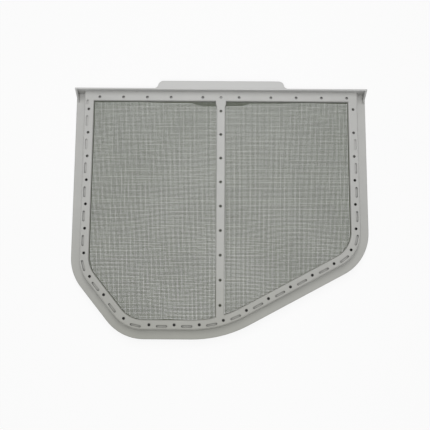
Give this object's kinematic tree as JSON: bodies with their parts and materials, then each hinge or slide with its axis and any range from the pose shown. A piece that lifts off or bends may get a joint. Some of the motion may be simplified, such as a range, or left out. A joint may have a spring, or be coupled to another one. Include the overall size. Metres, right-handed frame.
{
  "type": "tumble dryer lint filter",
  "caption": "Lint filter that slides into a tumble dryer: a moulded plastic frame with a middle bar, a top plate and a grip, holding a woven mesh screen.",
  "frame": {"origin": "under the middle of the outer box, on the plane that the filter lies on", "axes": "+X across the filter to the right as seen from the front, +Y up the filter towards the grip, +Z out of the front face; the filter lies on its back"},
  "size_m": [0.3432, 0.298, 0.03],
  "materials": {
    "frame": "light grey moulded plastic with a fine satin grain",
    "mesh_screen": "grey-green woven plastic thread"
  },
  "bodies": {
    "root": {"frame": "frame", "mesh_screen": "mesh_screen"}
  },
  "joints": []
}
